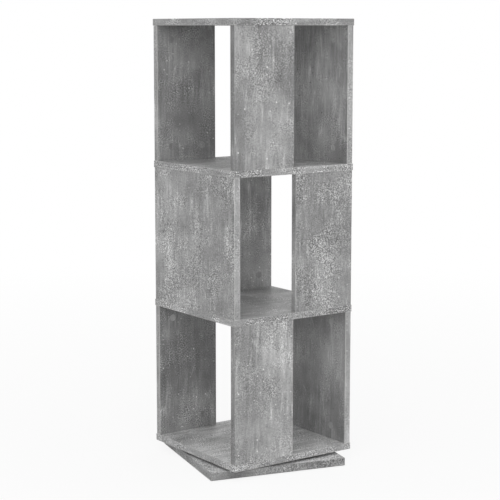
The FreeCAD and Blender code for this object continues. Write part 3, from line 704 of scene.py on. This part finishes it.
def fluted_dowel():
    """A rod with 20 flutes and chamfered ends; the end in the board is at Z = 0."""
    shape = bmesh.new()
    flutes = 20
    flute_share = 0.93
    thin, thick = 3.3, 4.0
    ring = bmesh.ops.create_circle(shape, cap_ends=True, segments=2 * flutes, radius=thin)
    around = sorted(ring["verts"], key=lambda vert: math.atan2(vert.co.y, vert.co.x))
    bmesh.ops.scale(shape, vec=(flute_share, flute_share, 1), verts=around[::2])
    edges = ring_between(shape, set(around))
    for last, radius, rise in ((thin, thick, 1.2), (thick, thick, 27.6), (thick, thin, 1.2)):
        grown = bmesh.ops.extrude_edge_only(shape, edges=edges)["geom"]
        rim = [part for part in grown if isinstance(part, bmesh.types.BMVert)]
        edges = ring_between(shape, set(rim))
        bmesh.ops.scale(shape, vec=(radius / last, radius / last, 1), verts=rim)
        bmesh.ops.translate(shape, vec=(0, 0, rise), verts=rim)
    bmesh.ops.contextual_create(shape, geom=edges)
    return shape


dowel_inset = 22 * MM
dowel_in_board = 9 * MM
dowel_wood = beech()
for tier, standing in panels.items():
    places = []
    for panel in standing:
        reach = panel.half_width - dowel_inset
        for side in ((-reach, reach) if panel.is_full else (0,)):
            for end in (-1, 1):
                place = panel.place(side, end * panel.half_height, 0) @ TOP_OVER
                places.append(place @ Matrix.Translation((0, 0, -dowel_in_board)))
    finish_piece(tier + "_tier_fluted_dowels", fluted_dowel(), places, dowel_wood, "tower",
                 "beech", tier + "_tier_dowels")


# ----------------------------------------------------------------------------- cover caps
# Self-adhesive discs of the same printed foil, half a millimetre thick, stuck over the cam
# locks on the inner faces of the panels.
def cap_disc():
    """A disc stuck down at Z = 0, with a rounded rim, in millimetres."""
    outline = [(0, 0), (8.6, 0), (8.6, 0.15), (8.4, 0.4), (8.0, 0.5), (0, 0.5)]
    return turned(outline, steps=40)


def printed_foil(roll, pale):
    """The decor print on vinyl foil, like the panel round it but with little grit."""
    material, tree = new_material("printed vinyl foil")
    tone = concrete_print(tree, roll, UP, grit=0.5)
    tone = add_node(tree, "Math", {0: tone, 1: pale}, operation="ADD")
    resin_surface(tree, tone, print_ink(tree, tone))
    return material


foil = printed_foil(roll=9.1, pale=0.02)
for tier, standing in panels.items():
    places = [panel.place(side, up, panel.half_thick)
              for panel in standing for side, up in cam_spots(panel)]
    finish_piece(tier + "_tier_cover_caps", cap_disc(), places, foil, "tower",
                 "cap_foil", tier + "_tier_cam_caps")


# ------------------------------------------------------------------------ studio and camera
# A white floor and surround light the tower softly from all sides, with large softboxes
# overhead and in front, and a small one behind.  Nothing here is part of the object.
def studio_floor(half_side):
    """A large white square; it is seen whiter further out, so that it shows no edge, and
    only as it is lit under the base plate, so that the gap there stays dark."""
    mesh = bpy.data.meshes.new("studio_floor")
    shape = bmesh.new()
    bmesh.ops.create_grid(shape, x_segments=1, y_segments=1, size=half_side)
    shape.to_mesh(mesh)
    shape.free()
    material, tree = new_material("white floor paint")
    spot = add_node(tree, "TexCoord").outputs["Object"]
    # near the tower an eighth of what is seen is the lit paint, so that a shadow shows
    far = add_node(tree, "VectorMath", {0: spot}, operation="LENGTH").outputs["Value"]
    far = add_node(tree, "MapRange", {"Value": far, "From Min": 0.5, "From Max": 3.0,
                                      "To Min": 0.88, "To Max": 1.0})
    plate = add_node(tree, "Mapping", {"Vector": spot, "Rotation": (0, 0, -base_turn)})
    plate = add_node(tree, "VectorMath", {0: plate}, operation="ABSOLUTE")
    plate = add_node(tree, "SeparateXYZ", {"Vector": plate})
    beside = add_node(tree, "Math", {0: plate.outputs[0], 1: plate.outputs[1]},
                      operation="MAXIMUM")
    beside = add_node(tree, "Math", {0: beside, 1: base_side / 2}, operation="GREATER_THAN")
    far = add_node(tree, "Math", {0: far, 1: beside}, operation="MULTIPLY")
    path = add_node(tree, "LightPath")
    seen = add_node(tree, "Math", {0: path.outputs["Is Camera Ray"], 1: far},
                    operation="MULTIPLY")
    paint = add_node(tree, "BsdfDiffuse", {"Color": linear("#ececec")})
    white = add_node(tree, "Emission", {"Color": (1, 1, 1, 1), "Strength": 1.0})
    surface = add_node(tree, "MixShader", {0: seen, 1: paint, 2: white})
    add_node(tree, "OutputMaterial", {"Surface": surface})
    mesh.materials.append(material)
    floor = bpy.data.objects.new("studio_floor", mesh)
    bpy.context.scene.collection.objects.link(floor)


def white_surround(strength):
    """Even white light from all round, seen as plain white by the lens and in gloss."""
    world = bpy.data.worlds.new("white surround")
    world.use_nodes = True
    tree = world.node_tree
    tree.nodes.clear()
    path = add_node(tree, "LightPath")
    seen = add_node(tree, "Math", {0: path.outputs["Is Camera Ray"],
                                   1: path.outputs["Is Glossy Ray"]}, operation="MAXIMUM")
    seen = add_node(tree, "Math", {0: seen, 1: path.outputs["Is Transmission Ray"]},
                    operation="MAXIMUM")
    light = add_node(tree, "Background", {"Color": (1, 1, 1, 1), "Strength": strength})
    white = add_node(tree, "Background", {"Color": (1, 1, 1, 1), "Strength": 1.0})
    surface = add_node(tree, "MixShader", {0: seen, 1: light, 2: white})
    add_node(tree, "OutputWorld", {"Surface": surface})
    bpy.context.scene.world = world


def softbox(name, spot, aim, side, power):
    """A square lamp at spot that shines toward aim, with its side in metres."""
    light = bpy.data.lights.new(name, "AREA")
    light.shape = "SQUARE"
    light.size = side
    light.energy = power
    lamp = bpy.data.objects.new(name, light)
    bpy.context.scene.collection.objects.link(lamp)
    lamp.location = spot
    lamp.rotation_euler = (Vector(aim) - Vector(spot)).to_track_quat("-Z", "Y").to_euler()


studio_floor(half_side=40)
white_surround(strength=0.62)
tower_middle = (0, 0, 0.5)
softbox("key softbox", (-2.6, -3.0, 2.6), tower_middle, side=3.6, power=59)
softbox("overhead softbox", (-0.5, -0.8, 3.4), tower_middle, side=3.0, power=26)
softbox("fill softbox", (3.2, 3.4, 0.7), tower_middle, side=1.4, power=16)

camera_data = bpy.data.cameras.new("camera")
camera_data.sensor_width = 36
camera_data.lens = 106.56
camera_data.shift_y = -0.03
camera = bpy.data.objects.new("camera", camera_data)
bpy.context.scene.collection.objects.link(camera)
camera.location = (-2.0853, -2.9348, 1.0524)
camera.rotation_euler = (math.radians(90 - 7.875), 0, math.radians(-35.306))
bpy.context.scene.camera = camera
bpy.context.scene.view_settings.view_transform = "Standard"
